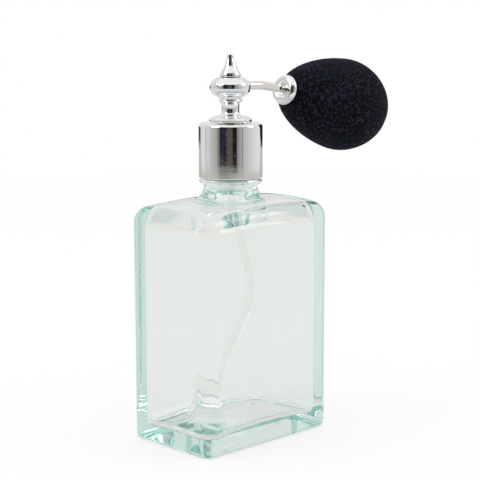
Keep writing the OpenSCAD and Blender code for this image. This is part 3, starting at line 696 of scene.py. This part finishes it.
head_low, head_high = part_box("head_body")
head_foot, head_top = head_low.z / MM, (head_high.z - head_low.z) / MM
head_r, ball_r, hub_r, post_hole, finial_r = 7.32, 7.1, 4.6, 2.35, 3.55
spray_h, washer_t, clip_groove_r, spigot_hole = 12.0, 0.4, 3.0, 1.9
clip_groove_z, clip_groove_l = 1.05, 0.55
clip_groove_top = clip_groove_z + clip_groove_l
chamber_h = spray_h + 1.3
head_line = [(hub_r, 0.12), (hub_r + 0.12, 0)] + arc((head_r - 0.2, 0.2), 0.2, -90, 0)
head_line += through([
    (head_r, 0.8), (head_r - 0.2, 1.0), (6.3, 1.62), (3.9, 2.35), (3.1, 3.2), (2.98, 4.65),
    (3.15, 6.0), (3.6, 6.6), (4.07, 7.15), (3.8, 7.75)], 5)
head_line += through([
    (3.85, spray_h - 4.1), (ball_r - 2.5, spray_h - 3.5), (ball_r - 1.3, spray_h - 2.75),
    (ball_r - 0.4, spray_h - 1.7), (ball_r - 0.02, spray_h - 0.75), (ball_r, spray_h - 0.1),
    (ball_r - 0.03, spray_h + 0.6), (ball_r - 0.4, spray_h + 1.4), (ball_r - 1.3, spray_h + 2.4),
    (ball_r - 2.5, head_top)], 5)
head_line += [(spigot_hole, head_top), (spigot_hole, chamber_h), (post_hole, chamber_h),
              (post_hole, clip_groove_top), (clip_groove_r, clip_groove_top),
              (clip_groove_r, clip_groove_z), (post_hole, clip_groove_z), (post_hole, washer_t),
              (hub_r, washer_t)]
piece("spray_head", turned([(r, head_foot + z) for r, z in head_line]), chrome, "head",
      "chrome_plate", "head_body", sharp=40)

finial_low, finial_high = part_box("finial")
seal_t = 0.3
finial_foot = head_high.z / MM + seal_t
finial_h, tip_r = finial_high.z / MM - finial_foot, 1.05
spigot_foot = finial_low.z / MM - finial_foot
spigot_r = spigot_hole - 0.02
finial_line = [(0, spigot_foot), (spigot_r - 0.2, spigot_foot), (spigot_r, spigot_foot + 0.2),
               (spigot_r, 0)]
finial_line += arc((finial_r - 0.2, 0.2), 0.2, -90, 0) + through([
    (finial_r, 0.7), (finial_r - 0.4, 1.7), (2.3, 0.4 * finial_h), (1.7, 0.6 * finial_h),
    (tip_r + 0.2, 0.78 * finial_h), (tip_r, 0.93 * finial_h), (0.6 * tip_r, 0.99 * finial_h),
    (0, finial_h)], 6)
piece("pointed_finial", turned([(r, finial_foot + z) for r, z in finial_line], 96), chrome, "head",
      "chrome_plate", "finial", sharp=40)

nozzle_low, nozzle_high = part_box("nozzle_insert")
nozzle_r, orifice_r, nozzle_l = 1.6, 0.25, (nozzle_high.x - nozzle_low.x) / MM
nozzle_line = [(orifice_r, 0), (nozzle_r, 0)]
nozzle_line += arc((nozzle_r - 0.35, nozzle_l - 0.5), 0.35, 0, 70)
nozzle_line += [(nozzle_r - 0.6, nozzle_l - 0.04), (nozzle_r - 0.7, nozzle_l)]
nozzle_line += arc((orifice_r + 0.25, nozzle_l - 0.15), 0.15, 90, 180)
nozzle_line += [(orifice_r, nozzle_l - 0.4)]
piece("spray_nozzle",
      turned(nozzle_line, 64, Matrix.Translation((nozzle_high.x, 0, head_low.z + spray_h * MM))
             @ Matrix.Rotation(-math.pi / 2, 4, "Y")),
      chrome, "head", "chrome_plate", "nozzle_insert")


# ---------------------------------------------------------------- air tube and ferrule
# Thin nickel-plated tube, brazed into the ball and bent round a former in two easy bends. The
# ferrule on its end has a thick round rim and a dished face, and holds the mouth of the bulb.

squeeze = next(j for j in frame["joints"] if j["name"] == "bulb_squeeze")
bulb_way = -Vector(squeeze["axis"])
ferrule_low, ferrule_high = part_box("bulb_ferrule")
ferrule_at = (ferrule_low + ferrule_high) / 2
on_bulb_axis = (Matrix.Translation(ferrule_at)
                @ Matrix.Rotation(math.atan2(bulb_way.x, bulb_way.z), 4, "Y"))

tube_r, tube_bore = 1.5, 1.0
spray_z = head_foot + spray_h
tube_in, tube_out, bend_r, tube_mid, tube_end = 3.4, 12.0, 38.0, 6.2, 5.1
first_bend, second_bend = math.radians(9.5), math.radians(2.64)
bend_centre = Vector((tube_out, 0, spray_z - bend_r))
air = bmesh.new()
cut = tube_mouth(air, tube_r, tube_bore, Matrix.Translation((tube_in * MM, 0, spray_z * MM))
                 @ Matrix.Rotation(math.pi / 2, 4, "Y"))
cut = run_on(air, cut, (tube_out - tube_in, 0, 0))
cut = bend_on(air, cut, bend_centre, first_bend, 12)
heading = Vector((math.cos(first_bend), 0, -math.sin(first_bend)))
towards_centre = Vector((-math.sin(first_bend), 0, -math.cos(first_bend)))
knee = bend_centre - towards_centre * bend_r + heading * tube_mid
cut = run_on(air, cut, heading * tube_mid)
cut = bend_on(air, cut, knee + towards_centre * bend_r, second_bend, 6)
run_on(air, cut, bulb_way * tube_end)
nickel = plated("nickel_plate", (0.86, 0.83, 0.77, 1), lathe=False)
piece("bent_air_tube", air, nickel, "head", "nickel_tube", "air_tube")

rim_r, rim_t, hole_r = 3.6, 1.75, tube_r + 0.02
ferrule_line = arc((rim_r, 0), rim_t, 90, -200, 32)
ferrule_line += [(tube_r + 0.35, -0.5), (tube_r + 0.12, -0.66), (hole_r, -0.7), (hole_r, rim_t)]
piece("round_rimmed_ferrule", turned(ferrule_line, 96, on_bulb_axis), chrome, "head",
      "chrome_plate", "bulb_ferrule", sharp=40)


# ---------------------------------------------------------------- rubber bulb
# A moulded bulb of black rubber. A brass barrel in its mouth and another in its tail hold it.
# The shortening that a squeeze would give is worked out along the bulb's axis.

bulb_l, bulb_r, belly, mouth = 49.8, 17.0, 0.615, 1.85
squashed = {"axis": bulb_way, "anchor": ferrule_at + bulb_way * mouth * MM,
            "keep": 1 - squeeze["range_m"][1] / ((bulb_l - mouth) * MM)}
give(rubbery("moulded_rubber", (0.018, 0.018, 0.02, 1), 1300), "rubber_bulb")
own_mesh(nodes["rubber_bulb"])


# ---------------------------------------------------------------- net cover
# Fine black thread crocheted round and round into a bag that fits the bulb. The stitches stand in
# rows that run from mouth to tail, each a third of a stitch on from the last.

WALES, COURSES, PER_WALE, PER_COURSE = 108, 72, 4, 3
net_t, furrow, furrow_share, lean_round = 0.75, 0.42, 0.32, 0.5
# How high the thread stands at each place across a stitch, and at each along it
ACROSS_STITCH = {-1: 0.62, 0: 1.0, 1: 0.62, 2: 0.0}
ALONG_STITCH = (1.0, 0.75, 0.18)


def bulb_radius(t, drawn_in=0):
    """Half the width of the bulb, at a distance from the front of its mouth."""
    u = (t - drawn_in) / (bulb_l - 2 * drawn_in)
    reach, power = ((belly - u) / belly, 1.54) if u < belly else ((u - belly) / (1 - belly), 1.83)
    return (bulb_r - drawn_in) * math.sqrt(max(0, 1 - reach ** power))


# The inside of the bag, from its tail to its mouth, and the outside back again, evenly spaced
inside_l = bulb_l - net_t
rows = [(0, inside_l)]
for share in (0.97, 0.88, 0.72, 0.5, 0.28, 0.12, 0.04, 0):
    t = mouth + (inside_l - mouth) * share
    rows.append((bulb_radius(t, net_t), t))
hem = len(rows)
fine_steps, course_rows = 2000, COURSES * PER_COURSE
fine = [mouth + (bulb_l - mouth) * (1 - math.cos(math.pi * k / fine_steps)) / 2
        for k in range(fine_steps + 1)]
walked = [0.0]
for a, b in zip(fine, fine[1:]):
    walked.append(walked[-1] + math.hypot(b - a, bulb_radius(b) - bulb_radius(a)))
k = 0
for course_row in range(course_rows):
    goal = walked[-1] * course_row / course_rows
    while walked[k + 1] < goal:
        k += 1
    t = fine[k] + (fine[k + 1] - fine[k]) * (goal - walked[k]) / (walked[k + 1] - walked[k])
    rows.append((bulb_radius(t), t))
rows.append((0, bulb_l))
outward = [Vector((c[1] - a[1], a[0] - c[0])).normalized()
           for a, c in zip(rows[:1] + rows, rows[1:] + rows[-1:])]

net = bmesh.new()
around, along = WALES * PER_WALE, len(rows) - 1
bmesh.ops.create_grid(net, x_segments=around, y_segments=along, size=0.5)
stitch_map = net.loops.layers.uv.new("stitches")
places = {v: (round((v.co.x + 0.5) * around), round((v.co.y + 0.5) * along)) for v in net.verts}
for face in net.faces:
    for loop in face.loops:
        column, row = places[loop.vert]
        loop[stitch_map].uv = (column / PER_WALE, (row - hem + column / PER_WALE) / PER_COURSE)
for v, (column, row) in places.items():
    wale, across = divmod(column + 1, PER_WALE)
    height = ACROSS_STITCH[across - 1] * ALONG_STITCH[(row - hem + wale) % PER_COURSE]
    r, t = rows[row]
    stitch_w = 2 * math.pi * r / WALES
    depth = min(furrow, furrow_share * stitch_w) * (1 - height) if row > hem else 0
    r, t = r - depth * outward[row].x, t - depth * outward[row].y
    angle = 2 * math.pi * column / around + lean_round * (t - mouth) / bulb_l
    v.co = Vector((r * math.cos(angle), r * math.sin(angle), t)) * MM
bmesh.ops.remove_doubles(net, verts=net.verts, dist=1e-6)
bmesh.ops.transform(net, matrix=on_bulb_axis, verts=net.verts)

thread = Finish("black_thread", base_color=(0.006, 0.006, 0.010, 1), roughness=0.55,
                specular_ior_level=0.08, sheen_weight=0.02, sheen_roughness=0.4,
                sheen_tint=(0.45, 0.42, 0.85, 1))
stitch_place = thread.outputs("ShaderNodeSeparateXYZ", {
    0: thread.node("ShaderNodeUVMap", {"uv_map": "stitches"})})
u, v = stitch_place["X"], stitch_place["Y"]
from_middle = ((u + 0.5).maths("FRACT") - 0.5).maths("ABSOLUTE") * 2
plies = ((v * 2 + from_middle * 0.7) * 2 * math.pi).maths("SINE") * 0.5 + 0.5
loop_top = (1 - from_middle) * ((v * 2 * math.pi).maths("COSINE") * 0.4 + 0.6)
fuzz = thread.grain(2500, 3)
# Painted highlight on the thread: the tops of the loops are lighter, violet here and blue there
sheen_hue = thread.band(thread.grain(300, 2), 0.4, 0.6)
painted_sheen = thread.mix(sheen_hue, (0.075, 0.052, 0.105, 1), (0.032, 0.046, 0.100, 1))
# Where the painted highlight lies: loop tops and plies, broken up at random
lit_loops = loop_top * (0.5 + 0.5 * plies) * thread.band(thread.grain(900, 1), 0.44, 0.66)
thread.feed(base_color=thread.mix(lit_loops, (0.0010, 0.0012, 0.0035, 1), painted_sheen),
            roughness=0.42 + 0.3 * fuzz)
thread.relief(plies * loop_top + 0.4 * fuzz, 0.00012, 0.7)
net_piece = piece("crocheted_net", net, thread, "head", "black_net", "net_cover", sharp=180)
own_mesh(net_piece)
# The glass would otherwise show a stray dark image of the bulb in its shoulder
net_piece.visible_transmission = False
nodes["rubber_bulb"].visible_transmission = False
